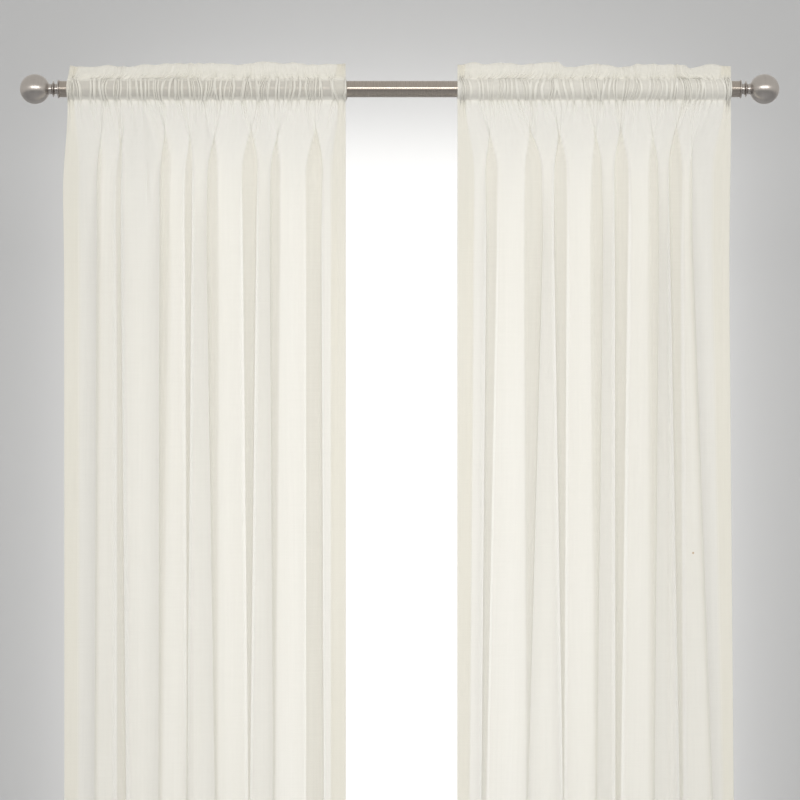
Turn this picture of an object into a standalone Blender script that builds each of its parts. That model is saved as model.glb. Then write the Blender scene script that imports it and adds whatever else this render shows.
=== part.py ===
# A pair of sheer voile curtain panels, gathered on one brushed metal rod with ball finials.
#
# Origin: the middle of the rod's axis. +X runs along the rod to the right, +Y away from the
# room, +Z up. Each panel is one sheet: it rises from its hem, passes in front of the rod,
# makes the standing header, turns over and comes down behind the rod to the lower stitch line.

import math
from collections import namedtuple

import bmesh
import bpy
import numpy as np
from mathutils import Matrix, Vector

MM = 0.001
GAP = 0.3 * MM

# Rod, end caps and finials
ROD_DIAMETER = 25.4 * MM
ROD_WALL = 1.0 * MM
ROD_LENGTH = 1059.2 * MM
ROD_SIDES = 32
TURNED_SIDES = 24
LIP_DIAMETER = 28.8 * MM
LIP_WIDTH = 2.2 * MM
LIP_ROUNDING = 0.5 * MM
PLUG_LENGTH = 18 * MM
STUD_DIAMETER = 8 * MM
STUD_LENGTH = 10 * MM
NECK_DIAMETER = 16 * MM
DISC_DIAMETER = 25.4 * MM
DISC_WIDTH = 5.4 * MM
DISC_EDGE = 0.8 * MM
DISC_CENTRE = 9.6 * MM
BALL_DIAMETER = 46.4 * MM
BALL_CENTRE = 38.6 * MM
BALL_STEPS = 11
BALL_FLARE = 1.6 * MM
BALL_FLARE_ANGLE = 12

# Panels: 40 by 84 inches finished, gathered to less than half of their width
CLOTH_THICKNESS = 1.2 * MM
PANEL_LENGTH = 2134 * MM
HEADER_TOP = 38 * MM
UPPER_STITCH = 15.8 * MM
LOWER_STITCH = -15.8 * MM
POCKET_RADIUS = ROD_DIAMETER / 2 + GAP + CLOTH_THICKNESS / 2 + 1.2 * MM
LAYER_SPACING = 3.2 * MM
TOP_FOLD = 1.0 * MM
HEM_LINE = HEADER_TOP - PANEL_LENGTH

# Heights at which the fold table is read, and where it has taken over from the gathers: the
# cloth spreads sideways first, and then swings forward and back
FOLDS_HIGH = -240 * MM
FOLDS_LOW = -935 * MM
FOLDS_SPREAD = -230 * MM
FOLDS_DEEP = -330 * MM
LOWEST_DRIFT = 1.3

# The folds grow deeper on the way down, where their overlaps grow narrower
DEPTH_HIGH = 1.08
DEPTH_LOW = 1.25

# Small ruffles of the gathered top
RUFFLE = 2.6 * MM
RUFFLE_UNEVEN = 0.35
RUFFLE_SLOPE = 0.36
RUFFLE_END = -150 * MM
RUFFLE_FREE = 1.0
RUFFLE_SEWN = 0.7

# Each row is a strip of cloth that runs left to right between two turns, in mm from the panel's
# left edge: where it turns high up, where it turns lower down, and how far it hangs in front of
# the rod's axis (minus) or behind it.
Strip = namedtuple("Strip", "left right left_low right_low depth")
LEFT_STRIPS = (
    Strip(0, 61, 0, 55, 24),
    Strip(55, 93, 53, 100, -26),
    Strip(83, 168, 83, 157, 30),
    Strip(154, 203, 153, 197, -33),
    Strip(190, 243, 193, 242, 34),
    Strip(226, 304, 237, 296, -36),
    Strip(280, 340, 287, 333, 35),
    Strip(324, 405, 329, 408, -31),
    Strip(380, 442, 380, 442, 17),
)
RIGHT_STRIPS = (
    Strip(0, 62, 0, 49, 20),
    Strip(44, 132, 38, 113, -33),
    Strip(104, 171, 107, 168, 34),
    Strip(149, 225, 160, 217, -36),
    Strip(208, 267, 214, 258, 31),
    Strip(244, 312, 244, 306, -34),
    Strip(297, 350, 300, 353, 30),
    Strip(330, 365, 342, 390, -28),
    Strip(361, 426, 386, 432, 22),
)

# The header's top edge: how far it rises above or falls below its own line, in mm, at a place
# counted in mm from the panel's left edge
Rise = namedtuple("Rise", "place height")
LEFT_RISES = (
    Rise(10, -2), Rise(35, -4), Rise(67, -1), Rise(92, -3), Rise(138, 0), Rise(180, 2),
    Rise(240, 2), Rise(279, 0), Rise(324, 5), Rise(347, 2), Rise(369, 3), Rise(393, 0), Rise(442, 1),
)
RIGHT_RISES = (
    Rise(0, 0), Rise(27, 3), Rise(41, 1), Rise(77, 3), Rise(93, 0), Rise(153, 4), Rise(174, -4),
    Rise(220, 1), Rise(253, -4), Rise(286, 1), Rise(347, 0), Rise(364, -5), Rise(400, 1), Rise(426, -3),
)

# Where each panel starts along the rod, and where its gathered top starts and how wide it is
Panel = namedtuple("Panel", "name strips rises left_edge top_inset top_width ruffle_step")
PANELS = (
    Panel("panel_left", LEFT_STRIPS, LEFT_RISES, -526 * MM, 9 * MM, 433 * MM, 1.7),
    Panel("panel_right", RIGHT_STRIPS, RIGHT_RISES, 90.2 * MM, 0, 426 * MM, 2.3),
)

# A strip's centre is at a whole number, its turns this far to either side
TURN = 0.3
STEPS = (0, 0.15, TURN, 0.43, 0.57, 1 - TURN, 0.85)

# The rows of a panel, from its hem up over the rod and down behind it. Each has its depth and
# height at the rod, and how far the small ruffles show there.
Row = namedtuple("Row", "depth height ruffle")
BODY_HEIGHTS = (HEM_LINE, -1900 * MM, -1450 * MM, -1000 * MM, -600 * MM, FOLDS_DEEP)
FORMING_HEIGHTS = (-260 * MM, -200 * MM, -150 * MM, -100 * MM, -65 * MM, -36 * MM)
POCKET_ANGLES = (130, 90, 50)
HEADER_MIDDLE = 29 * MM

VOILE_COLOR = (0.88, 0.86, 0.79, 1)
NICKEL_COLOR = (0.42, 0.39, 0.36, 1)


def empty_scene():
    for old in list(bpy.data.objects):
        bpy.data.objects.remove(old, do_unlink=True)


def new_collection(name):
    collection = bpy.data.collections.new(name)
    bpy.context.scene.collection.children.link(collection)
    return collection


def new_material(name, color, roughness, metallic):
    material = bpy.data.materials.new(name)
    material.use_nodes = True
    material.diffuse_color = color
    shader = material.node_tree.nodes["Principled BSDF"]
    shader.inputs["Base Color"].default_value = color
    shader.inputs["Roughness"].default_value = roughness
    shader.inputs["Metallic"].default_value = metallic
    return material


def add_object(name, mesh, material, collection):
    mesh.materials.append(material)
    made = bpy.data.objects.new(name, mesh)
    collection.objects.link(made)
    return made


def ease(part):
    part = min(max(part, 0), 1)
    return (1 - math.cos(math.pi * part)) / 2


def mix(low, high, part):
    return low + (high - low) * part


def rise_at(rises, place):
    """Height of the header's top edge over its line, eased from one row of the table to the next."""
    for before, after in zip(rises, rises[1:]):
        if place < after.place * MM:
            part = (place / MM - before.place) / (after.place - before.place)
            return mix(before.height, after.height, ease(part)) * MM
    return rises[-1].height * MM


def fold_columns(count):
    """Places across a panel, counted in strips: closest together at the turns."""
    columns = [-TURN, -TURN / 2]
    for strip in range(count - 1):
        columns += [strip + step for step in STEPS]
    return columns + [count - 1, count - 1 + TURN / 2, count - 1 + TURN]


def strip_ends(strip, drift):
    left = mix(strip.left, strip.left_low, drift) * MM
    right = mix(strip.right, strip.right_low, drift) * MM
    return left, right


def fold_point(strips, column, drift):
    """The cloth's place in plan, where it hangs in its main folds."""
    index = min(max(math.floor(column), 0), len(strips) - 1)
    part = column - index
    left, right = strip_ends(strips[index], drift)
    middle = (left + right) / 2
    depth = strips[index].depth
    if part <= TURN or index == len(strips) - 1:
        swing = math.sin(math.pi / 2 * part / TURN)
        across = middle + (right - middle) * swing
    else:
        next_left, next_right = strip_ends(strips[index + 1], drift)
        if part <= 1 - TURN:
            across = mix(right, next_left, ease((part - TURN) / (1 - 2 * TURN)))
        else:
            next_middle = (next_left + next_right) / 2
            swing = math.sin(math.pi / 2 * (1 - part) / TURN)
            across = next_middle - (next_middle - next_left) * swing
    if index < len(strips) - 1:
        depth = mix(depth, strips[index + 1].depth, ease(part))
    return across, depth * MM * mix(DEPTH_HIGH, DEPTH_LOW, drift)


def cloth_run(strips, columns):
    """Length of cloth from the panel's left edge to each column."""
    plan = [Vector(fold_point(strips, column, 0)) for column in columns]
    run = [0]
    for before, after in zip(plan, plan[1:]):
        run.append(run[-1] + (after - before).length)
    return run


def gathered_places(panel, columns):
    """Where each column meets the rod: every strip stays over its place in the folds below."""
    strips = panel.strips
    stops, marks = [columns[0]], [0]
    for index, strip in enumerate(strips):
        stops.append(index)
        marks.append((strip.left + strip.right) / 2)
        if index < len(strips) - 1:
            stops.append(index + 0.5)
            marks.append((strip.right + strips[index + 1].left) / 2)
    stops.append(columns[-1])
    marks.append(strips[-1].right)
    run = cloth_run(strips, columns)
    marks = np.array(marks) / marks[-1] * panel.top_width + panel.top_inset
    spread = np.interp(run, np.interp(stops, columns, run), marks)
    stepped = np.interp(columns, stops, marks)
    return (spread + stepped) / 2


def ruffle_at(line, index, most):
    """A small ruffle at right angles to the cloth: to the room and back in turn, never steep."""
    here = line[index]
    before = line[max(index - 1, 0)]
    after = line[min(index + 1, len(line) - 1)]
    along = after - before
    nearest = min((here - other).length for other in (before, after) if other is not here)
    away = Vector((-along.y, along.x)).normalized()
    return away * (-1) ** index * min(most, RUFFLE_SLOPE * nearest)


def panel_rows():
    half = LAYER_SPACING / 2
    rows = [Row(0, height, 0) for height in BODY_HEIGHTS]
    for height in FORMING_HEIGHTS:
        rows.append(Row(0, height, RUFFLE_FREE * (1 - ease(height / RUFFLE_END))))
    for side, angles in ((-1, POCKET_ANGLES), (1, POCKET_ANGLES[::-1])):
        stitches = [Row(side * half, LOWER_STITCH, RUFFLE_SEWN)]
        pocket = [
            Row(
                side * POCKET_RADIUS * math.sin(math.radians(angle)),
                POCKET_RADIUS * math.cos(math.radians(angle)),
                1,
            )
            for angle in angles
        ]
        header = [
            Row(side * half, UPPER_STITCH, RUFFLE_SEWN),
            Row(side * half, HEADER_MIDDLE, 1),
            Row(side * TOP_FOLD, HEADER_TOP, 1),
        ]
        if side < 0:
            rows += stitches + pocket + header
        else:
            rows += header[::-1] + pocket + stitches
    return rows


def drape(panel, rows):
    """The panel's points, row by row."""
    columns = fold_columns(len(panel.strips))
    places = gathered_places(panel, columns)
    points = []
    for row in rows:
        drift = (row.height - FOLDS_HIGH) / (FOLDS_LOW - FOLDS_HIGH)
        drift = min(max(drift, 0), LOWEST_DRIFT)
        spread = ease((row.height - LOWER_STITCH) / (FOLDS_SPREAD - LOWER_STITCH))
        deep = ease((row.height - LOWER_STITCH) / (FOLDS_DEEP - LOWER_STITCH))
        standing = max(0, (row.height - UPPER_STITCH) / (HEADER_TOP - UPPER_STITCH))
        line = []
        for place, column in zip(places, columns):
            across, depth = fold_point(panel.strips, column, drift)
            line.append(Vector((mix(place, across, spread), row.depth + depth * deep)))
        ruffled = []
        for index, here in enumerate(line):
            uneven = 1 + RUFFLE_UNEVEN * math.sin(index * panel.ruffle_step)
            ruffle = ruffle_at(line, index, RUFFLE * uneven * row.ruffle * (1 - spread))
            if abs(row.depth) > LAYER_SPACING:
                ruffle *= (index % 2) * math.copysign(1, row.depth * ruffle.y)
            across, depth = here + ruffle
            height = row.height + rise_at(panel.rises, places[index]) * standing
            ruffled.append(Vector((panel.left_edge + across, depth, height)))
        points.append(ruffled)
    return points


def make_panel(panel, material, collection):
    rows = panel_rows()
    points = drape(panel, rows)
    last_row = len(points) - 1
    last_column = len(points[0]) - 1
    sheet = bmesh.new()
    bmesh.ops.create_grid(sheet, x_segments=last_column, y_segments=last_row, size=0.5)
    for vert in sheet.verts:
        column = round((vert.co.x + 0.5) * last_column)
        row = round((vert.co.y + 0.5) * last_row)
        vert.co = points[row][column]
    bmesh.ops.triangulate(sheet, faces=sheet.faces[:], quad_method="SHORT_EDGE")
    mesh = bpy.data.meshes.new(panel.name)
    sheet.to_mesh(mesh)
    sheet.free()
    mesh.shade_smooth()
    made = add_object(panel.name, mesh, material, collection)
    thick = made.modifiers.new("cloth", "SOLIDIFY")
    thick.thickness = CLOTH_THICKNESS
    thick.offset = 0
    return made


def make_rod(material, collection):
    tube = bmesh.new()
    bmesh.ops.create_cone(
        tube,
        cap_ends=False,
        segments=ROD_SIDES,
        radius1=ROD_DIAMETER / 2,
        radius2=ROD_DIAMETER / 2,
        depth=ROD_LENGTH,
        matrix=Matrix.Rotation(math.radians(90), 4, "Y"),
    )
    mesh = bpy.data.meshes.new("rod")
    tube.to_mesh(mesh)
    tube.free()
    made = add_object("rod", mesh, material, collection)
    wall = made.modifiers.new("wall", "SOLIDIFY")
    wall.thickness = ROD_WALL
    wall.offset = -1
    mesh.shade_smooth()
    return made


def arc(centre, radius, start, end, steps):
    """Points on a circle in a turned profile, angles in degrees from its tip."""
    points = []
    for step in range(steps + 1):
        angle = math.radians(mix(start, end, step / steps))
        points.append((radius * math.sin(angle), centre + radius * math.cos(angle)))
    return points


def turned(name, profile, side, material, collection):
    """A profile of (radius, distance out from the rod's end), turned about the rod's axis."""
    mesh = bpy.data.meshes.new(name)
    verts = [(radius, 0, out) for radius, out in profile]
    edges = [(index, index + 1) for index in range(len(profile) - 1)]
    mesh.from_pydata(verts, edges, [])
    made = add_object(name, mesh, material, collection)
    turn = made.modifiers.new("turn", "SCREW")
    turn.steps = TURNED_SIDES
    turn.render_steps = TURNED_SIDES
    turn.use_merge_vertices = True
    turn.merge_threshold = 0.01 * MM
    turn.use_smooth_shade = True
    made.location = (side * ROD_LENGTH / 2, 0, 0)
    made.rotation_euler = (0, side * math.radians(90), 0)
    return made


def cap_profile():
    plug = ROD_DIAMETER / 2 - ROD_WALL - GAP
    hole = STUD_DIAMETER / 2 + GAP
    hole_end = LIP_WIDTH + GAP - STUD_LENGTH
    return [
        (0, hole_end),
        (hole, hole_end),
        (hole, GAP + LIP_WIDTH),
        (LIP_DIAMETER / 2 - LIP_ROUNDING, GAP + LIP_WIDTH),
        (LIP_DIAMETER / 2, GAP + LIP_WIDTH - LIP_ROUNDING),
        (LIP_DIAMETER / 2, GAP + LIP_ROUNDING),
        (LIP_DIAMETER / 2 - LIP_ROUNDING, GAP),
        (plug, GAP),
        (plug, GAP - PLUG_LENGTH),
        (0, GAP - PLUG_LENGTH),
    ]


def finial_profile():
    seat = LIP_WIDTH + 2 * GAP
    neck = NECK_DIAMETER / 2
    ball = BALL_DIAMETER / 2
    meeting = 180 - math.degrees(math.asin(neck / ball))
    return arc(BALL_CENTRE, ball, 0, meeting - BALL_FLARE_ANGLE, BALL_STEPS) + [
        (neck + BALL_FLARE, BALL_CENTRE - ball),
        (neck, DISC_CENTRE + DISC_WIDTH / 2),
        (DISC_DIAMETER / 2, DISC_CENTRE + DISC_EDGE / 2),
        (DISC_DIAMETER / 2, DISC_CENTRE - DISC_EDGE / 2),
        (neck, DISC_CENTRE - DISC_WIDTH / 2),
        (neck, seat),
        (STUD_DIAMETER / 2, seat),
        (STUD_DIAMETER / 2, seat - STUD_LENGTH),
        (0, seat - STUD_LENGTH),
    ]


def main():
    empty_scene()
    curtains = new_collection("sheer_curtain_pair_on_rod")
    voile = new_material("voile", VOILE_COLOR, 0.8, 0)
    nickel = new_material("brushed_nickel", NICKEL_COLOR, 0.35, 1)
    make_rod(nickel, curtains)
    for side, end in ((-1, "left"), (1, "right")):
        turned("end_cap_" + end, cap_profile(), side, nickel, curtains)
        turned("finial_" + end, finial_profile(), side, nickel, curtains)
    for panel in PANELS:
        make_panel(panel, voile, curtains)


main()
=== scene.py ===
import math

import bmesh
import bpy
import numpy as np
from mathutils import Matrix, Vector


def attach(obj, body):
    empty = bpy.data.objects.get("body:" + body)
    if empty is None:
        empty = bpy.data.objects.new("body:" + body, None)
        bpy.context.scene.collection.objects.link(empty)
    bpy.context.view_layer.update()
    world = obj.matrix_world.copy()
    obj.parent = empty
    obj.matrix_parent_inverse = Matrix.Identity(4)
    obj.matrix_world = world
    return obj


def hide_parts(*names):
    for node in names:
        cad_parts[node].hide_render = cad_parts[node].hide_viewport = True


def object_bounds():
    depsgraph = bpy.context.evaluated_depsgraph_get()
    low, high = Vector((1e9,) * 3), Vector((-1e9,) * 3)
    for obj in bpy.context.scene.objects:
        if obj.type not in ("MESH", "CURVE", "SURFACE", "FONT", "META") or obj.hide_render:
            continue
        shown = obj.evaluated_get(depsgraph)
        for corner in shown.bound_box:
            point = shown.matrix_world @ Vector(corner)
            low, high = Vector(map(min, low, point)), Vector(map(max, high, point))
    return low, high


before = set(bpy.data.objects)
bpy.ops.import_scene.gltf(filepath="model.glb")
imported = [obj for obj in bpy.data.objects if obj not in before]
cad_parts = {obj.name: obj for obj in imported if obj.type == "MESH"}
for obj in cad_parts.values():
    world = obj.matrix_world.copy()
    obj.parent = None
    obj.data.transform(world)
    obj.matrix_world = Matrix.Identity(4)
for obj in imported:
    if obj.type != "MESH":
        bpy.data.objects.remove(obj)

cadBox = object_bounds()
mm = 0.001

# the frame of the picture: what it is centred on, and how wide it is at the rod
viewpoint = {"across": 0.6 * mm, "height": -484.4 * mm, "distance": 4.0, "frameWidth": 1.2464, "sensor": 36}

studio = {
    "world": (0.65, 0.637, 0.603),
    "keySize": (3.6, 0.6),
    "keyPlace": (0.1, -3.3, 0.55),
    "keyAim": (0, 0, -0.2),
    "keyPower": 38,
    "keyColor": (1.0, 0.975, 0.925),
    "fillSize": (1.2, 1.2),
    "fillPlace": (0.07, -1.9, -0.62),
    "fillAim": (0.05, 0, -0.6),
    "fillPower": 7.3,
    "poolSize": (1.10, 1.8),
    "poolPlace": (0.0, 0.76, -0.87),
    "poolPower": 10,
    "wallAt": 0.95,
    "wallColor": (0.572, 0.582, 0.606),
    "floorColor": (0.55, 0.56, 0.58),
    "floorUnder": 30 * mm,
    "reach": 16,
}

rodSizes = {"diameter": 25.4 * mm, "length": 1059.2 * mm, "wall": 1 * mm, "sides": 96}

capSizes = {
    "lip": 28.8 * mm, "lipWidth": 2.2 * mm, "lipBevel": 0.95 * mm, "gap": 0.3 * mm,
    "plug": 22.8 * mm, "plugLength": 18 * mm, "sides": 64,
}

finialSizes = {
    "ball": 46.4 * mm, "ballCentre": 38.6 * mm, "neck": 16 * mm, "disc": 25.4 * mm, "discWidth": 5.4 * mm,
    "discCentre": 9.6 * mm, "flare": 1.6 * mm, "flareLength": 2.4 * mm, "stud": 8 * mm, "seat": 2.8 * mm,
    "sides": 64, "rings": 48, "edge": 0.35 * mm,
}

# both panels: 40 by 84 inches finished, with a rod pocket under a standing header
cloth = {
    "width": 1016 * mm,
    "length": 2134 * mm,
    "headerTop": 38 * mm,
    "stitch": 15.8 * mm,
    "pocketRadius": 13.5 * mm,
    "layerGap": 0.7 * mm,
    "sideHem": 25.4 * mm,
    "bottomHem": 76.2 * mm,
    "sideLayer": 0.35 * mm,
    "bottomLayer": 0.9 * mm,
    "tail": 2.2 * mm,
    "hemShare": 0.42,
    "columns": 1001,
}

folds = {
    "high": -240 * mm, "low": -935 * mm, "formed": -330 * mm, "lowestDrift": 1.3,
    "depthHigh": 0.96, "depthLow": 1.08, "turn": 0.3,
    "acrossBy": 115 * mm, "edgeBy": 150 * mm,
}

# each strip of cloth between two turns, in mm from the panel's left edge: left and right turn high
# up, left and right turn low down, and how far it hangs behind the rod (in front is minus)
leftPanel = {
    "name": "curtain_left", "node": "panel_left", "seed": 11,
    "leftEdge": -526 * mm, "topInset": 9 * mm, "headerInset": 4 * mm,
    "strips": [
        (0, 61, 0, 55, 24), (55, 93, 53, 100, -26), (83, 168, 83, 157, 30), (154, 203, 153, 197, -33),
        (190, 243, 193, 242, 34), (226, 304, 237, 296, -36), (280, 340, 287, 333, 35),
        (324, 405, 329, 408, -31), (380, 442, 380, 442, 17),
    ],
    "creases": [
        (22, 16, -150, -980, 6, 1.0), (38, 33, -110, -760, 4, -0.9), (82, 88, -90, -520, 4, 1.4),
        (131, 131, -112, -182, 2.4, -3.2), (141, 137, -96, -420, 5, 1.2), (118, 121, -300, -1500, 7, -0.9),
        (176, 172, -160, -900, 6, 0.9), (199, 203, -330, -1250, 4, -1.4), (216, 219, -120, -600, 6, 1.0),
        (262, 268, -200, -1300, 7, -1.0), (302, 305, -140, -700, 5, 1.0), (318, 311, -420, -1600, 6, -1.0),
        (352, 356, -260, -1200, 6, 1.0), (371, 368, -100, -560, 4, -1.1), (398, 402, -180, -1400, 6, 0.9),
        (428, 431, -40, -620, 3, 1.1),
    ],
    "pocketCover": 0.8,
    "tuck": {"at": -13 * mm, "tall": 4.5 * mm, "wide": 15 * mm, "inward": 3 * mm, "forward": 3 * mm},
    "rises": [
        (10, -2), (35, -4), (67, -1), (92, -3), (138, 0), (180, 2), (240, 2), (279, 0), (324, 5),
        (347, 2), (369, 3), (393, 0), (442, 1),
    ],
}

rightPanel = {
    "name": "curtain_right", "node": "panel_right", "seed": 23,
    "leftEdge": 90.2 * mm, "topInset": 0, "headerInset": 0,
    "strips": [
        (0, 62, 0, 49, 20), (44, 132, 38, 113, -33), (104, 171, 107, 168, 34), (149, 225, 160, 217, -36),
        (208, 267, 214, 258, 31), (244, 312, 244, 306, -34), (297, 350, 300, 353, 30),
        (330, 365, 342, 390, -28), (361, 426, 386, 432, 22),
    ],
    "creases": [
        (24, 20, -130, -900, 5, -0.9), (46, 42, -90, -640, 5, 1.1), (72, 76, -200, -1300, 7, 0.9),
        (98, 92, -140, -560, 5, -1.0), (126, 120, -300, -1500, 6, 0.9), (141, 146, -110, -800, 5, 1.0),
        (188, 184, -160, -980, 7, -0.9), (203, 206, -90, -480, 4, 1.1), (236, 240, -240, -1400, 6, 0.9),
        (256, 250, -120, -700, 5, -1.1), (282, 279, -180, -1100, 7, 1.0), (331, 338, -150, -1600, 3, 1.8),
        (352, 366, -220, -900, 5, -1.0), (392, 404, -110, -1300, 7, 0.9), (412, 418, -90, -520, 4, -0.9),
    ],
    "pocketCover": 1.5,
    "tuck": None,
    "rises": [
        (0, 0), (27, 3), (41, 1), (77, 3), (93, 0), (153, 4), (174, -4), (220, 1), (253, -4), (286, 1),
        (347, 0), (364, -5), (400, 1), (426, -3),
    ],
}

# the small gathers that the stitch lines hold, and how they let go above and below
gathers = {
    "narrow": 7.5 * mm, "wide": 25 * mm, "tight": 0.3, "loose": 1.45,
    "heightShare": 0.38, "highest": 5.5 * mm,
    "fullness": 1.95, "headerFullness": 0.7, "fullUntil": 320 * mm, "fullBelow": 0.66, "evenAtRod": 0.6,
    "spreadBelow": 55 * mm, "spreadAbove": 5 * mm,
    "overhang": 3.2, "overhangFade": 14 * mm, "turnShare": 0.7, "endShare": 0.5,
    "slant": 4 * mm, "slantStep": 34 * mm,
    "shortFade": 10 * mm, "longFade": 30 * mm,
    "headerFade": 0.06, "headerLetGo": 3.5 * mm,
    "fluteNarrow": 34 * mm, "fluteWide": 75 * mm, "fluteDepth": 2.6 * mm,
    "mergeNarrow": 30 * mm, "mergeWide": 60 * mm, "mergeDepth": 1.5 * mm,
    "fallNarrow": 55 * mm, "fallWide": 100 * mm, "fallDepth": 2.0 * mm,
}


def ease(part):
    return (1 - np.cos(np.pi * np.clip(part, 0, 1))) / 2


def mix(low, high, part):
    return low + (high - low) * part


def linear(red, green, blue):
    # colour as it is read from a screen, to the light that it stands for
    return tuple(((c / 255 + 0.055) / 1.055) ** 2.4 for c in (red, green, blue)) + (1,)


# ---- rod, end caps and finials

def startPiece(name):
    made = bpy.context.object
    made.name = name
    bpy.ops.object.transform_apply(location=True, rotation=True, scale=True)
    return made


def selectInEdit(mesh, wanted, kind):
    # selects the faces or edges that pass the test, and nothing else
    bpy.ops.mesh.select_all(action="DESELECT")
    bpy.context.tool_settings.mesh_select_mode = (False, kind == "edges", kind == "faces")
    edit = bmesh.from_edit_mesh(mesh)
    for item in getattr(edit, kind):
        item.select_set(bool(wanted(item)))
    edit.select_flush_mode()
    bmesh.update_edit_mesh(mesh)


def ringTo(along, scale):
    bpy.ops.mesh.extrude_region_move(TRANSFORM_OT_translate={"value": (along, 0, 0)})
    bpy.ops.transform.resize(value=(1, scale, scale))


def finishMetal(piece, edge, node):
    bevel = piece.modifiers.new("edge", "BEVEL")
    bevel.width = edge
    bevel.segments = 2
    bevel.limit_method = "ANGLE"
    bevel.angle_limit = math.radians(30)
    bpy.ops.object.modifier_apply(modifier="edge")
    bpy.ops.object.mode_set(mode="EDIT")
    bpy.ops.mesh.select_all(action="SELECT")
    bpy.ops.mesh.normals_make_consistent(inside=False)
    bpy.ops.object.mode_set(mode="OBJECT")
    bpy.ops.object.shade_smooth_by_angle(angle=math.radians(28))
    piece.data.materials.append(nickel)
    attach(piece, "root")
    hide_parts(node)


def makeRod():
    bpy.ops.object.select_all(action="DESELECT")
    bpy.ops.mesh.primitive_cylinder_add(
        vertices=rodSizes["sides"], radius=rodSizes["diameter"] / 2, depth=rodSizes["length"],
        end_fill_type="NOTHING", rotation=(0, math.pi / 2, 0),
    )
    rod = startPiece("curtain_rod")
    wall = rod.modifiers.new("wall", "SOLIDIFY")
    wall.thickness = rodSizes["wall"]
    wall.offset = -1
    bpy.ops.object.modifier_apply(modifier="wall")
    finishMetal(rod, 0.2 * mm, "rod")
    return rod


def makeCap(side, end):
    lipWidth = capSizes["lipWidth"]
    middle = side * (rodSizes["length"] / 2 + capSizes["gap"] + lipWidth / 2)
    bpy.ops.object.select_all(action="DESELECT")
    bpy.ops.mesh.primitive_cylinder_add(
        vertices=capSizes["sides"], radius=capSizes["lip"] / 2, depth=lipWidth, end_fill_type="NGON",
        location=(middle, 0, 0), rotation=(0, math.pi / 2, 0),
    )
    cap = startPiece("rod_end_cap_" + end)
    bpy.ops.object.mode_set(mode="EDIT")
    selectInEdit(cap.data, lambda face: face.normal.x * side < -0.5, "faces")
    bpy.ops.mesh.inset(thickness=(capSizes["lip"] - capSizes["plug"]) / 2, depth=0)
    bpy.ops.mesh.extrude_region_move(
        TRANSFORM_OT_translate={"value": (-side * capSizes["plugLength"], 0, 0)}
    )
    # the lip comes to a ridge, as a turned one does
    outer = capSizes["lip"] / 2 * 0.98
    selectInEdit(
        cap.data,
        lambda edge: all(math.hypot(v.co.y, v.co.z) > outer for v in edge.verts)
        and abs(edge.verts[0].co.x - edge.verts[1].co.x) < lipWidth / 2,
        "edges",
    )
    bpy.ops.mesh.bevel(offset=capSizes["lipBevel"], segments=2, profile=0.5)
    bpy.ops.object.mode_set(mode="OBJECT")
    finishMetal(cap, 0.12 * mm, "end_cap_" + end)
    return cap


def makeFinial(side, end):
    size = finialSizes
    rodEnd = rodSizes["length"] / 2
    ballAt = rodEnd + size["ballCentre"]
    bpy.ops.object.select_all(action="DESELECT")
    bpy.ops.mesh.primitive_uv_sphere_add(
        segments=size["sides"], ring_count=size["rings"], radius=size["ball"] / 2,
        location=(side * ballAt, 0, 0), rotation=(0, side * math.pi / 2, 0),
    )
    finial = startPiece("ball_finial_" + end)
    bpy.ops.object.mode_set(mode="EDIT")
    # the ball is opened where it runs into its neck
    opening = size["neck"] / 2 + size["flare"]
    cutAt = math.sqrt((size["ball"] / 2) ** 2 - opening**2)
    selectInEdit(
        finial.data, lambda face: (ballAt - face.calc_center_median().x * side) > cutAt, "faces"
    )
    bpy.ops.mesh.delete(type="FACE")
    selectInEdit(finial.data, lambda edge: edge.is_boundary, "edges")
    edit = bmesh.from_edit_mesh(finial.data)
    rim = [v.co.copy() for v in edit.verts if v.select]
    at = rim[0].x * side - rodEnd
    radius = math.hypot(rim[0].y, rim[0].z)
    neck, disc = size["neck"] / 2, size["disc"] / 2
    centre, half = size["discCentre"], size["discWidth"] / 2
    steps = [
        (at - size["flareLength"] / 3, neck + 0.45 * (radius - neck)),
        (at - size["flareLength"] * 0.7, neck + 0.12 * (radius - neck)),
        (at - size["flareLength"], neck),
        (centre + half, neck),
        (centre + half * 0.45, mix(neck, disc, 0.42)),
        (centre + size["edge"], disc),
        (centre - size["edge"], disc),
        (centre - half * 0.45, mix(neck, disc, 0.42)),
        (centre - half, neck),
        (size["seat"], neck),
        (size["seat"], size["stud"] / 2),
        (-7.2 * mm, size["stud"] / 2),
    ]
    for out, wanted in steps:
        ringTo(side * (out - at), wanted / radius)
        at, radius = out, wanted
    bpy.ops.mesh.edge_face_add()
    bpy.ops.object.mode_set(mode="OBJECT")
    finishMetal(finial, 0.15 * mm, "finial_" + end)
    return finial


# ---- cloth

def foldLine(panel, columns, drift):
    # the cloth in plan where it hangs in its main folds: across and behind the rod
    strips = np.array(panel["strips"]) * mm
    turn = folds["turn"]
    left = mix(strips[:, 0], strips[:, 2], drift)
    right = mix(strips[:, 1], strips[:, 3], drift)
    middle = (left + right) / 2
    index = np.clip(np.floor(columns), 0, len(strips) - 1).astype(int)
    after = np.minimum(index + 1, len(strips) - 1)
    part = columns - index
    inner = index < len(strips) - 1
    across = middle[index] + (right[index] - middle[index]) * np.sin(np.pi / 2 * part / turn)
    over = mix(right[index], left[after], ease((part - turn) / (1 - 2 * turn)))
    across = np.where(inner & (part > turn), over, across)
    swing = np.sin(np.pi / 2 * (1 - part) / turn)
    across = np.where(inner & (part > 1 - turn), middle[after] - (middle[after] - left[after]) * swing, across)
    depth = np.where(inner, mix(strips[index, 4], strips[after, 4], ease(part)), strips[index, 4])
    return across, depth * mix(folds["depthHigh"], folds["depthLow"], drift)


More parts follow.
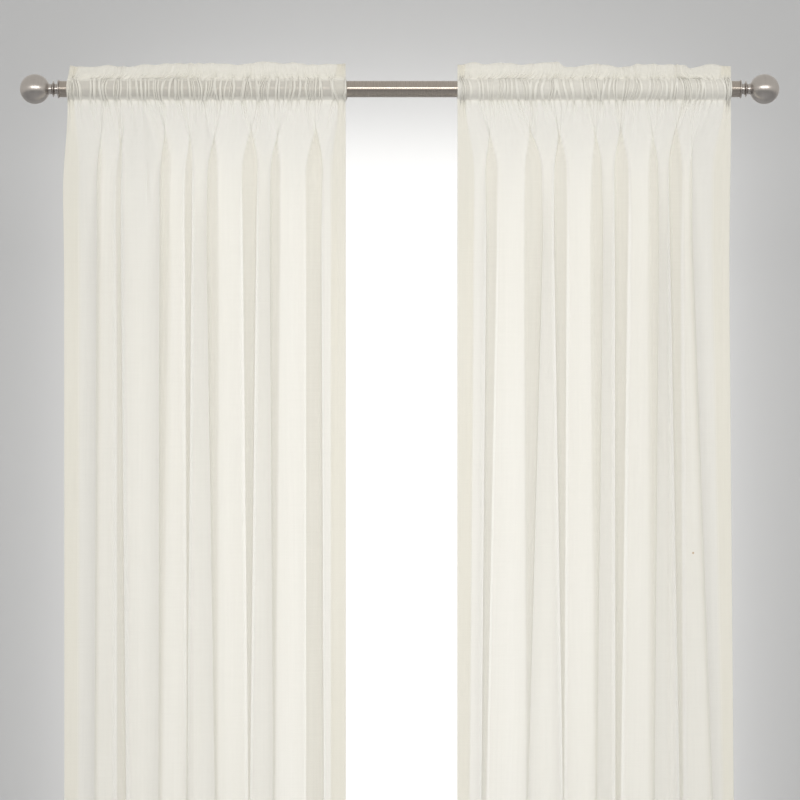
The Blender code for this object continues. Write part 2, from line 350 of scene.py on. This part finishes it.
def columnsAlong(panel):
    # where each column of the cloth lies in the fold table, evenly spaced along the cloth
    turn = folds["turn"]
    fine = np.linspace(-turn, len(panel["strips"]) - 1 + turn, 6000)
    across, depth = foldLine(panel, fine, 0.5)
    run = np.concatenate([[0], np.cumsum(np.hypot(np.diff(across), np.diff(depth)))])
    return np.interp(np.linspace(0, run[-1], cloth["columns"]), run, fine)


def placesAlong(panel, columns, along):
    # where each column meets the rod: every strip stays over its place in the folds below
    strips = panel["strips"]
    turn, last = folds["turn"], len(strips) - 1
    middles = [(strip[0] + strip[1]) / 2 for strip in strips]
    middles[0] *= gathers["endShare"]
    middles[-1] = mix(strips[-1][1], middles[-1], gathers["endShare"])
    stops, marks = [-turn, 0], [0, middles[0]]
    for index in range(last):
        meet = (strips[index][1] + strips[index + 1][0]) / 2
        stops += [index + turn, index + 0.5, index + 1 - turn, index + 1]
        marks += [
            mix(middles[index], meet, gathers["turnShare"]), meet,
            mix(middles[index + 1], meet, gathers["turnShare"]), middles[index + 1],
        ]
    stops.append(last + turn)
    marks.append(strips[-1][1])
    return soften(np.interp(along, np.interp(stops, columns, along), marks), 25) * mm


def crowdPlaces(place, along, chance):
    # some gathers lie nearly flat along the rod, and others are pushed close together
    share = soften(mix(gathers["tight"], gathers["loose"], chance**1.5), 7)
    uneven = np.cumsum(np.gradient(place) * share / soften(share, 121))
    uneven = np.maximum.accumulate(uneven - soften(uneven - place, 121)) + 0.03 * along
    uneven = (uneven - uneven[0]) * place[-1] / (uneven[-1] - uneven[0])
    return uneven, np.clip(np.gradient(uneven, along), 0.05, 1)


def soften(line, width):
    kernel = np.hanning(width) / np.hanning(width).sum()
    ends = np.pad(line, width // 2, mode="reflect", reflect_type="odd")
    return np.convolve(ends, kernel, "valid")


def sheetRows():
    # the rows of the cloth from its hem line up in front of the rod and down behind it:
    # height, distance behind the rod's axis, and side (-1 in front, 1 behind, 0 below the pocket)
    hemLine = cloth["headerTop"] - cloth["length"]
    stitch, top, radius, gap = cloth["stitch"], cloth["headerTop"], cloth["pocketRadius"], cloth["layerGap"]
    touch = radius * radius / stitch  # height where the cloth meets the rod
    meet = math.sqrt(radius**2 - touch**2)
    rows = [(z, 0, 0) for z in np.linspace(hemLine, -320 * mm, 19)]
    rows += [(z, 0, 0) for z in np.linspace(-320 * mm, -190 * mm, 6)[1:]]
    letGo = np.linspace(1, 0, 22)[1:-1] ** 1.7
    rows += [(-stitch - part * (190 * mm - stitch), 0, 0) for part in letGo]
    angles = np.radians(np.linspace(180, 0, 13)[1:-1])
    start = math.acos(-touch / radius)
    arc = np.linspace(start, math.pi - start, 9)
    pocket = [(-stitch, gap), (-stitch + 0.45 * (stitch - touch), mix(gap, meet, 0.45))]
    pocket += [(radius * math.cos(a), radius * math.sin(a)) for a in arc]
    pocket += [(stitch - 0.45 * (stitch - touch), mix(gap, meet, 0.45)), (stitch, gap)]
    header = [(mix(stitch, top, part), gap + 1.3 * mm * math.sin(math.pi * min(part, 0.97)))
              for part in (0.09, 0.2, 0.33, 0.47, 0.61, 0.74, 0.86, 0.94, 0.98)]
    rows += [(z, -y, -1) for z, y in pocket + header]
    rows += [(top + 0.2 * mm, 0, 0.01)]
    rows += [(z, y, 1) for z, y in header[::-2] + pocket[::-1]]
    rows += [(-stitch - cloth["tail"], gap, 1)]
    return np.array(rows)


def wander(place, step, rng):
    # a smooth uneven line between -1 and 1
    knots = rng.uniform(-1, 1, int(np.max(place) / step) + 3)
    index = np.floor(place / step).astype(int)
    return mix(knots[index], knots[index + 1], ease(place / step - index))


def unevenSteps(width, narrow, wide, rng, skew=1.0):
    edges = [-rng.uniform(0, narrow)]
    while edges[-1] < width:
        edges.append(edges[-1] + narrow + (wide - narrow) * rng.uniform(0, 1) ** skew)
    return np.array(edges)


def wave(place, edges):
    # turns from one crest to the next, and the width of the gather there
    turns = np.interp(place, edges, np.arange(len(edges)))
    index = np.clip(turns.astype(int), 0, len(edges) - 2)
    return 2 * np.pi * turns, np.diff(edges)[index], index


def riseAt(panel, place):
    table = np.array(panel["rises"]) * mm
    index = np.clip(np.searchsorted(table[:, 0], place) - 1, 0, len(table) - 2)
    part = (place - table[index, 0]) / (table[index + 1, 0] - table[index, 0])
    return mix(table[index, 1], table[index + 1, 1], ease(part))


def layersOver(x):
    # how many layers of cloth lie over one another at each place across the panel
    step = 1.5 * mm
    edges = np.arange(x.min() - 2 * step, x.max() + 3 * step, step)
    cloths = np.histogram((x[1:] + x[:-1]) / 2, edges, weights=abs(np.diff(x)))[0] / step
    return np.interp(x, edges[:-1] + step / 2, soften(cloths, 5))


def creased(panel, x, height):
    # soft troughs and ridges at the places listed
    out = np.zeros(len(x))
    for high, low, head, foot, wide, deep in panel["creases"]:
        head, foot = head * mm, foot * mm
        middle = mix(high, low, (head - height) / (head - foot)) * mm
        fade = ease((head - height) / (0.15 * (head - foot))) * ease((height - foot) / (0.5 * (head - foot)))
        out += deep * mm * fade * np.exp(-(((x - middle) / (wide * mm)) ** 2))
    return out


def drape(panel):
    rng = np.random.default_rng(panel["seed"])
    columns = columnsAlong(panel)
    along = np.linspace(0, cloth["width"], len(columns))
    rows = sheetRows()
    stitch, top = cloth["stitch"], cloth["headerTop"]

    edges = unevenSteps(cloth["width"], gathers["narrow"], gathers["wide"], rng, 2.0)
    turns, pitch, number = wave(along, edges)
    each = rng.uniform(0, 1, (len(edges), 3))
    even = placesAlong(panel, columns, along)
    atRod = mix(even, along / along[-1] * even[-1], gathers["evenAtRod"])
    uneven, crowd = crowdPlaces(atRod, along, each[number, 2])
    wide = even[-1]
    slack = np.sqrt(1 - crowd**2)
    tall = pitch * gathers["heightShare"] * slack * mix(0.75, 1.25, each[number, 0])
    tall = np.minimum(tall, gathers["highest"])
    letGo = mix(gathers["shortFade"], gathers["longFade"], each[number, 1] ** 2)
    tall, letGo, pitch = (soften(line, 15) for line in (tall, letGo, pitch))
    flute, _, _ = wave(along, unevenSteps(cloth["width"], gathers["fluteNarrow"], gathers["fluteWide"], rng))
    merge, _, _ = wave(along, unevenSteps(cloth["width"], gathers["mergeNarrow"], gathers["mergeWide"], rng))
    fall, _, _ = wave(along, unevenSteps(cloth["width"], gathers["fallNarrow"], gathers["fallWide"], rng))
    slantA = wander(along, gathers["slantStep"], rng)
    slantB = wander(along, gathers["slantStep"], rng)
    fluteSize = mix(0.5, 1.3, ease(wander(along, 80 * mm, rng) / 2 + 0.5))
    mergeSize = mix(0.3, 1.4, ease(wander(along, 90 * mm, rng) / 2 + 0.5))
    small = [(wander(along, step, rng), size) for step, size in ((14 * mm, 0.35 * mm), (31 * mm, 0.8 * mm))]
    smallLow = [(wander(along, step, rng), size) for step, size in ((17 * mm, 0.35 * mm), (37 * mm, 0.8 * mm))]

    xs, ys, zs, layers = [], [], [], []
    for height, behind, side in rows:
        drift = np.clip((height - folds["high"]) / (folds["low"] - folds["high"]), 0, folds["lowestDrift"])
        formed = ease((height + stitch) / (folds["formed"] + stitch))
        standing = max(0.0, (height - stitch) / (top - stitch))
        under = max(0.0, -stitch - height)
        across, depth = foldLine(panel, columns, drift)
        insetLeft = panel["topInset"] * (1 - ease(under / folds["edgeBy"])) + panel["headerInset"] * standing
        spreadOut = 1 - math.exp(-under / gathers["spreadBelow"] - max(0.0, height - stitch) / gathers["spreadAbove"])
        place = mix(uneven, even, spreadOut)
        x = mix(place, across, ease(under / folds["acrossBy"]))
        x = insetLeft + x * (1 - insetLeft / wide)
        y = behind + depth * formed
        deep = np.maximum(layersOver(x), 1)
        tx, ty = np.gradient(x), np.gradient(y)
        size = np.hypot(tx, ty)
        tx, ty = tx / size, ty / size

        # gathers: full size on the stitch lines and over the pocket, letting go above and below
        over = max(0.0, height - stitch)
        held = np.exp(-under / letGo) * mix(gathers["headerFade"], 1, math.exp(-over / gathers["headerLetGo"]))
        outside = ease((abs(height) - 0.72 * stitch) / (0.28 * stitch)) if abs(height) < stitch else 1.0
        rest = 0.5 if side in (0, 0.01) else 0.5 * outside + (0 if side < 0 else 1) * (1 - outside)
        snug = 1 - 0.25 * (1 - outside)
        out = tall * held * snug * (rest - (1 + np.cos(turns)) / 2)
        out += gathers["fluteDepth"] * fluteSize * standing * np.cos(flute + 1.6 * slantA * standing)
        out += gathers["mergeDepth"] * mergeSize * np.cos(merge) * ease(under / (30 * mm)) * (1 - ease((under - 30 * mm) / (110 * mm)))
        out += gathers["fallDepth"] * np.cos(fall) * ease(under / (60 * mm)) * (1 - ease((under - 60 * mm) / (150 * mm)))
        lower = ease((under - 30 * mm) / (200 * mm))
        fallen = np.clip(under / (1.9), 0, 1)
        for (high, sizeHigh), (low, _) in zip(small, smallLow):
            out += lower * sizeHigh * mix(high, low, fallen)
        lean = slantB * np.clip(height / stitch, -1, 1) + slantA * (np.cos(np.pi / 2 * height / stitch) if abs(height) < stitch else 0)
        shift = -gathers["overhang"] * slack * pitch * crowd / (2 * np.pi) * np.sin(turns) * held
        shift *= math.exp(-under / gathers["overhangFade"])
        shift += gathers["slant"] * lean * np.exp(-under / (30 * mm)) * (1 - 0.7 * standing)
        edge = ease(np.minimum(along, cloth["width"] - along) / (12 * mm))
        shift *= edge

        x, y = x + tx * shift - ty * out, y + ty * shift + tx * out - creased(panel, x, height)
        if panel["tuck"] and side <= 0:
            tuck = panel["tuck"]
            near = ease((along - cloth["width"] + tuck["wide"]) / tuck["wide"])
            near = near * math.exp(-(((height - tuck["at"]) / tuck["tall"]) ** 2))
            x, y = x - tuck["inward"] * near, y - tuck["forward"] * near
        # gathers too fine to be seen one by one still lay the cloth closer together
        run = np.hypot(np.gradient(x, along), np.gradient(y, along))
        plain = 1 / np.clip(run, 0.25, 1)
        share = mix(1, gathers["fullBelow"], ease((under - 15 * mm) / gathers["fullUntil"]))
        full = mix(gathers["fullness"], gathers["headerFullness"], standing**0.3) / deep
        below = soften(mix(plain, full, share), 9)
        overRod = 1 - ease((abs(height) - 0.78 * stitch) / (0.18 * stitch))
        layers.append(mix(below, panel["pocketCover"] * soften(plain**1.6, 5), overRod))
        xs.append(panel["leftEdge"] + x)
        ys.append(y)
        zs.append(height + riseAt(panel, panel["topInset"] + place) * standing + 0.5 * mm * standing**2 * np.sin(flute))
    return np.array([xs, ys, zs]), np.array(layers), along, rows


def hemmed(positions, low, high, step):
    # low and high are hem widths; each hem is turned twice, so it has two more layers behind
    first, last = positions[0], positions[-1]

    def layers(width):
        if not width:
            return []
        count = max(3, int(round(width / step)))
        back = [(width * part, 2) for part in np.linspace(0.02, 0.98, count)]
        inner = [(width * part, 1) for part in np.linspace(0.98, 0.05, count)]
        lay = [(0, 1)] + back + [(width, 1.5)] + inner
        return lay

    lowLayers, highLayers = layers(low), layers(high)
    at = [first + inward for inward, _ in lowLayers[::-1]] + list(positions)
    at += [last - inward for inward, _ in highLayers]
    behind = [n for _, n in lowLayers[::-1]] + [0] * len(positions) + [n for _, n in highLayers]

    def run(lay, width):
        # how far out of the finished edge this lies when the hem is opened flat
        out = []
        for inward, n in lay:
            out.append(inward if n >= 1.5 or inward == 0 else 2 * width - inward)
        return out

    flat = [first - out for out in run(lowLayers, low)[::-1]] + list(positions)
    flat += [last + out for out in run(highLayers, high)]
    return np.array(at), np.array(behind, float), np.array(flat)


def makePanel(panel):
    points, layers, along, rows = drape(panel)
    lengths = np.concatenate([[0], np.cumsum(np.hypot(np.diff(rows[:, 0]), np.diff(rows[:, 1])))])
    at, behind, flatAcross = hemmed(along, cloth["sideHem"], cloth["sideHem"], 2.4 * mm)
    rowAt, rowBehind, flatUp = hemmed(lengths, cloth["bottomHem"], 0, 25 * mm)

    # out of the cloth's back, so that a turned layer lies behind
    du = np.gradient(points, axis=2)
    away = np.stack([-du[1], du[0], 0 * du[0]])
    away /= np.maximum(np.linalg.norm(away, axis=0), 1e-9)

    def spread(grid):
        wide = np.stack([[np.interp(at, along, line) for line in part] for part in grid])
        return np.stack([[np.interp(rowAt, lengths, part[:, c]) for c in range(len(at))] for part in wide]).transpose(0, 2, 1)

    points, away, layers = spread(points), spread(away), spread(layers[None])[0]
    layers = layers * np.where(behind > 0, cloth["hemShare"], 1)
    offset = behind[None, :] * cloth["sideLayer"] + rowBehind[:, None] * cloth["bottomLayer"]
    points = points + away * offset
    rowCount, columnCount = points.shape[1:]

    bpy.ops.object.select_all(action="DESELECT")
    bpy.ops.mesh.primitive_grid_add(x_subdivisions=columnCount - 1, y_subdivisions=rowCount - 1, size=1)
    made = bpy.context.object
    made.name = panel["name"]
    mesh = made.data
    start = np.empty(len(mesh.vertices) * 3)
    mesh.vertices.foreach_get("co", start)
    start = start.reshape(-1, 3)
    column = np.rint((start[:, 0] + 0.5) * (columnCount - 1)).astype(int)
    row = np.rint((start[:, 1] + 0.5) * (rowCount - 1)).astype(int)
    mesh.vertices.foreach_set("co", points[:, row, column].T.ravel())
    corner = np.empty(len(mesh.loops), int)
    mesh.loops.foreach_get("vertex_index", corner)
    flat = np.stack([flatAcross[column], flatUp[row]], axis=1)[corner]
    mesh.uv_layers.active.data.foreach_set("uv", flat.ravel())
    mesh.uv_layers.active.name = "cloth"
    mesh.attributes.new("gathered", "FLOAT", "POINT").data.foreach_set("value", layers[row, column])
    mesh.update()
    bpy.ops.object.shade_smooth()
    mesh.materials.append(voile)
    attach(made, "root")
    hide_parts(panel["node"])
    print(panel["name"], "cloth:", rowCount, "rows,", columnCount, "columns")
    return made


# ---- materials

def nodesOf(name):
    material = bpy.data.materials.new(name)
    material.use_nodes = True
    tree = material.node_tree
    return material, tree, tree.nodes["Principled BSDF"], tree.nodes["Material Output"]


def addNode(tree, kind, **settings):
    node = tree.nodes.new(kind)
    for key, value in settings.items():
        if hasattr(node, key):
            setattr(node, key, value)
        else:
            node.inputs[key.replace("_", " ")].default_value = value
    return node


def calc(tree, operation, first, second=None, third=None):
    node = tree.nodes.new("ShaderNodeMath")
    node.operation = operation
    for socket, value in zip(node.inputs, (first, second, third)):
        if value is None:
            continue
        if isinstance(value, (int, float)):
            socket.default_value = value
        else:
            tree.links.new(value, socket)
    return node.outputs[0]


voileLook = {
    "ivory": linear(251, 250, 246), "ivoryDeep": linear(250, 249, 243),
    "cover": 0.67, "between": (0.97, 0.962, 0.945, 1), "through": 0.4, "throughPocket": 0.15,
    "threadPitch": 0.55 * mm, "threadCover": 0.08, "slub": 0.045,
    "stitchWide": 0.9 * mm, "stitchLong": 2.6 * mm, "stitchCover": 0.08,
    "fleck": linear(196, 168, 132), "fleckAt": (454 * mm, -721 * mm), "fleckSize": 2.1 * mm,
}


def makeVoile():
    look = voileLook
    material, tree, shader, output = nodesOf("ivory_voile")
    link = tree.links.new
    uv = addNode(tree, "ShaderNodeUVMap", uv_map="cloth")
    split = addNode(tree, "ShaderNodeSeparateXYZ")
    link(uv.outputs[0], split.inputs[0])

    # threads both ways, finer than a picture shows, and slubs that run along them
    turns = 2 * math.pi / look["threadPitch"]
    warp = calc(tree, "SINE", calc(tree, "MULTIPLY", split.outputs[0], turns))
    weft = calc(tree, "SINE", calc(tree, "MULTIPLY", split.outputs[1], turns))
    threads = calc(tree, "MAXIMUM", warp, weft)

    def streaks(across, up, detail):
        mapping = addNode(tree, "ShaderNodeMapping")
        mapping.inputs["Scale"].default_value = (across, up, 1)
        link(uv.outputs[0], mapping.inputs["Vector"])
        noise = addNode(tree, "ShaderNodeTexNoise", Scale=1.0, Detail=detail)
        link(mapping.outputs[0], noise.inputs["Vector"])
        return noise.outputs["Fac"]

    slubs = calc(tree, "ADD", streaks(420, 9, 2.0), streaks(12, 500, 2.0))
    cloudy = streaks(9, 5, 2.0)

    # a small tan fleck low down in the right panel
    place = addNode(tree, "ShaderNodeTexCoord")
    where = addNode(tree, "ShaderNodeSeparateXYZ")
    link(place.outputs["Object"], where.inputs[0])
    beside = calc(tree, "SUBTRACT", where.outputs[0], look["fleckAt"][0])
    above = calc(tree, "SUBTRACT", where.outputs[2], look["fleckAt"][1])
    apart = calc(tree, "SQRT", calc(tree, "ADD", calc(tree, "MULTIPLY", beside, beside), calc(tree, "MULTIPLY", above, above)))
    fleck = addNode(tree, "ShaderNodeMapRange", From_Min=look["fleckSize"], From_Max=look["fleckSize"] * 0.4)
    link(apart, fleck.inputs[0])

    def blend(factor, first, second):
        node = addNode(tree, "ShaderNodeMix", data_type="RGBA")
        link(factor, node.inputs[0])
        for socket, value in zip((node.inputs[6], node.inputs[7]), (first, second)):
            if isinstance(value, tuple):
                socket.default_value = value
            else:
                link(value, socket)
        return node.outputs[2]

    tint = blend(fleck.outputs[0], blend(cloudy, look["ivory"], look["ivoryDeep"]), look["fleck"])
    link(tint, shader.inputs["Base Color"])
    shader.inputs["Roughness"].default_value = 0.75
    shader.inputs["Specular IOR Level"].default_value = 0.25
    shader.inputs["Sheen Weight"].default_value = 0.15
    glow = addNode(tree, "ShaderNodeBsdfTranslucent")
    link(tint, glow.inputs["Color"])
    body = addNode(tree, "ShaderNodeMixShader")
    # the pocket's close gathers turn more light back, and let less of it through
    level = calc(tree, "ABSOLUTE", where.outputs[2])
    lets = addNode(tree, "ShaderNodeMapRange", From_Min=cloth["stitch"], From_Max=cloth["stitch"] * 1.5)
    lets.inputs["To Min"].default_value = look["throughPocket"]
    lets.inputs["To Max"].default_value = look["through"]
    link(level, lets.inputs[0])
    link(lets.outputs[0], body.inputs[0])
    link(shader.outputs[0], body.inputs[1])
    link(glow.outputs[0], body.inputs[2])

    # how much of the view the threads fill: more where the cloth turns away and is seen edge on
    flat = calc(tree, "ADD", look["cover"], calc(tree, "MULTIPLY", threads, look["threadCover"] / 2))
    flat = calc(tree, "ADD", flat, calc(tree, "MULTIPLY", calc(tree, "SUBTRACT", slubs, 1.0), look["slub"]))
    # rows of stitches: over and under the pocket, and along the side and bottom hems
    def rowOf(position, middle):
        away = calc(tree, "ABSOLUTE", calc(tree, "SUBTRACT", calc(tree, "ABSOLUTE", position), middle))
        return calc(tree, "LESS_THAN", away, look["stitchWide"] / 2)

    def dashed(row, position):
        step = calc(tree, "SINE", calc(tree, "MULTIPLY", position, 2 * math.pi / look["stitchLong"]))
        return calc(tree, "MULTIPLY", row, calc(tree, "GREATER_THAN", step, -0.3))

    half = cloth["width"] / 2
    sides = rowOf(calc(tree, "SUBTRACT", split.outputs[0], half), half - cloth["sideHem"] + 1.5 * mm)
    foot = rowOf(split.outputs[1], cloth["bottomHem"] - 2 * mm)
    pocket = rowOf(where.outputs[2], cloth["stitch"])
    rowsAlong = dashed(calc(tree, "MAXIMUM", foot, pocket), split.outputs[0])
    stitches = calc(tree, "MAXIMUM", dashed(sides, split.outputs[1]), rowsAlong)
    flat = calc(tree, "ADD", flat, calc(tree, "MULTIPLY", stitches, look["stitchCover"]))
    flat = calc(tree, "ADD", flat, calc(tree, "MULTIPLY", fleck.outputs[0], 0.25))
    flat = calc(tree, "MINIMUM", flat, 0.97)
    slant = addNode(tree, "ShaderNodeLayerWeight", Blend=0.5)
    facing = calc(tree, "MAXIMUM", calc(tree, "SUBTRACT", 1.0, slant.outputs["Facing"]), 0.3)
    gathered = addNode(tree, "ShaderNodeAttribute", attribute_name="gathered")
    crowding = calc(tree, "DIVIDE", gathered.outputs["Fac"], calc(tree, "POWER", facing, 0.55))
    sheer = calc(tree, "POWER", calc(tree, "SUBTRACT", 1.0, flat), crowding)
    clear = addNode(tree, "ShaderNodeBsdfTransparent", Color=look["between"])
    whole = addNode(tree, "ShaderNodeMixShader")
    link(sheer, whole.inputs[0])
    link(body.outputs[0], whole.inputs[1])
    link(clear.outputs[0], whole.inputs[2])
    link(whole.outputs[0], output.inputs["Surface"])

    height = calc(tree, "ADD", calc(tree, "MULTIPLY", threads, 0.02), calc(tree, "MULTIPLY", slubs, 0.4))
    height = calc(tree, "ADD", height, calc(tree, "MULTIPLY", stitches, 0.5))
    bump = addNode(tree, "ShaderNodeBump", Strength=0.25, Distance=0.3 * mm)
    link(height, bump.inputs["Height"])
    link(bump.outputs[0], shader.inputs["Normal"])
    return material


# the finial colour multiplier is painted light: it lightens the finials to stand in for their brighter reflections
nickelLook = {
    "light": linear(190, 181, 173), "dark": linear(180, 171, 163), "roughness": (0.25, 0.31),
    "finialPaintedLight": (1.12, 1.17, 1.24, 1), "finialRough": 0.03, "drawnOut": 0.93, "finialDrawn": -0.22,
}


def makeNickel():
    look = nickelLook
    material, tree, shader, _ = nodesOf("brushed_nickel")
    link = tree.links.new
    place = addNode(tree, "ShaderNodeTexCoord")

    def streaks(across, round_, detail):
        mapping = addNode(tree, "ShaderNodeMapping")
        mapping.inputs["Scale"].default_value = (across, round_, round_)
        link(place.outputs["Object"], mapping.inputs["Vector"])
        noise = addNode(tree, "ShaderNodeTexNoise", Scale=1.0, Detail=detail)
        link(mapping.outputs[0], noise.inputs["Vector"])
        return noise.outputs["Fac"]

    fine, broad, cloudy = streaks(3200, 40, 2.0), streaks(300, 16, 2.0), streaks(40, 60, 2.0)
    ramp = addNode(tree, "ShaderNodeValToRGB")
    ramp.color_ramp.elements[0].position, ramp.color_ramp.elements[1].position = 0.3, 0.7
    ramp.color_ramp.elements[0].color, ramp.color_ramp.elements[1].color = look["dark"], look["light"]
    link(calc(tree, "MULTIPLY", calc(tree, "ADD", broad, cloudy), 0.5), ramp.inputs[0])
    # the finials' colour is painted a little lighter and greyer than the rod's, a painted brightness standing in for
    # the brighter reflections the balls show; they are also softer than the rod
    where = addNode(tree, "ShaderNodeSeparateXYZ")
    link(place.outputs["Object"], where.inputs[0])
    finial = calc(tree, "GREATER_THAN", calc(tree, "ABSOLUTE", where.outputs[0]), rodSizes["length"] / 2)
    tone = addNode(tree, "ShaderNodeMix", data_type="RGBA", blend_type="MULTIPLY")
    link(finial, tone.inputs[0])
    link(ramp.outputs[0], tone.inputs[6])
    tone.inputs[7].default_value = look["finialPaintedLight"]
    link(tone.outputs[2], shader.inputs["Base Color"])
    shader.inputs["Metallic"].default_value = 1
    low, high = look["roughness"]
    rough = calc(tree, "MULTIPLY_ADD", fine, high - low, low)
    link(calc(tree, "MULTIPLY_ADD", finial, look["finialRough"], rough), shader.inputs["Roughness"])
    drawn = calc(tree, "MULTIPLY_ADD", finial, look["finialDrawn"], look["drawnOut"])
    link(drawn, shader.inputs["Anisotropic"])
    shader.inputs["Anisotropic Rotation"].default_value = 0.25
    tangent = addNode(tree, "ShaderNodeTangent", direction_type="RADIAL", axis="X")
    link(tangent.outputs[0], shader.inputs["Tangent"])
    bump = addNode(tree, "ShaderNodeBump", Strength=0.12, Distance=0.05 * mm)
    link(fine, bump.inputs["Height"])
    link(bump.outputs[0], shader.inputs["Normal"])
    return material


def makePlain(name, colour, oneSided=False):
    material, tree, shader, output = nodesOf(name)
    noise = addNode(tree, "ShaderNodeTexNoise", Scale=0.7, Detail=2.0)
    place = addNode(tree, "ShaderNodeTexCoord")
    tree.links.new(place.outputs["Object"], noise.inputs["Vector"])
    ramp = addNode(tree, "ShaderNodeValToRGB")
    ramp.color_ramp.elements[0].color = tuple(c * 0.98 for c in colour) + (1,)
    ramp.color_ramp.elements[1].color = tuple(colour) + (1,)
    tree.links.new(noise.outputs["Fac"], ramp.inputs[0])
    tree.links.new(ramp.outputs[0], shader.inputs["Base Color"])
    shader.inputs["Roughness"].default_value = 0.95
    shader.inputs["Specular IOR Level"].default_value = 0.1
    if oneSided:
        # the backdrop doesn't hide the curtains from behind
        side = addNode(tree, "ShaderNodeNewGeometry")
        clear = addNode(tree, "ShaderNodeBsdfTransparent")
        both = addNode(tree, "ShaderNodeMixShader")
        tree.links.new(side.outputs["Backfacing"], both.inputs[0])
        tree.links.new(shader.outputs[0], both.inputs[1])
        tree.links.new(clear.outputs[0], both.inputs[2])
        tree.links.new(both.outputs[0], output.inputs["Surface"])
    return material


# ---- camera, stage and light

def makeCamera():
    lens = viewpoint["sensor"] * viewpoint["distance"] / viewpoint["frameWidth"]
    data = bpy.data.cameras.new("camera")
    data.sensor_width = viewpoint["sensor"]
    data.lens = lens
    data.clip_end = 60
    camera = bpy.data.objects.new("camera", data)
    bpy.context.scene.collection.objects.link(camera)
    camera.location = (viewpoint["across"], -viewpoint["distance"], viewpoint["height"])
    camera.rotation_euler = (math.pi / 2, 0, 0)
    bpy.context.scene.camera = camera


def makeStage():
    reach = studio["reach"]
    floorAt = cadBox[0].z - studio["floorUnder"]
    bpy.ops.object.select_all(action="DESELECT")
    bpy.ops.mesh.primitive_plane_add(size=reach, location=(0, 0, floorAt))
    floor = startPiece("studio_floor")
    floor.data.materials.append(makePlain("pale_floor", studio["floorColor"]))
    bpy.ops.object.select_all(action="DESELECT")
    bpy.ops.mesh.primitive_plane_add(
        size=reach, location=(0, studio["wallAt"], floorAt + reach / 2), rotation=(math.pi / 2, 0, 0)
    )
    backdrop = startPiece("studio_backdrop")
    backdrop.data.materials.append(makePlain("pale_backdrop", studio["wallColor"], oneSided=True))
    backdrop.visible_glossy = False
    world = bpy.data.worlds.new("studio")
    bpy.context.scene.world = world
    world.use_nodes = True
    world.node_tree.nodes["Background"].inputs["Color"].default_value = studio["world"] + (1,)


def makeLight(name, size, place, aim, power, color=(1, 1, 1)):
    data = bpy.data.lights.new(name, "AREA")
    data.shape = "RECTANGLE"
    data.size, data.size_y = size
    data.energy = power
    data.color = color
    light = bpy.data.objects.new(name, data)
    bpy.context.scene.collection.objects.link(light)
    light.location = place
    light.rotation_euler = (Vector(aim) - Vector(place)).to_track_quat("-Z", "Y").to_euler()
    light.visible_camera = False
    return light


def makeLights():
    tone = studio["keyColor"]
    makeLight("key", studio["keySize"], studio["keyPlace"], studio["keyAim"], studio["keyPower"], tone)
    fill = makeLight("fill", studio["fillSize"], studio["fillPlace"], studio["fillAim"], studio["fillPower"], tone)
    fill.visible_glossy = False
    x, y, z = studio["poolPlace"]
    makeLight("backdrop_pool", studio["poolSize"], (x, y, z), (x, y + 1, z), studio["poolPower"], tone)


bpy.context.scene.view_settings.view_transform = "Standard"
bpy.context.scene.cycles.transparent_max_bounces = 24
makeCamera()
makeStage()
makeLights()
print("camera, stage and lights are set")

nickel = makeNickel()
voile = makeVoile()
makeRod()
for side, end in ((-1, "left"), (1, "right")):
    makeCap(side, end)
    makeFinial(side, end)
print("rod, end caps and finials are made")
for panel in (leftPanel, rightPanel):
    makePanel(panel)
print("both panels hang")
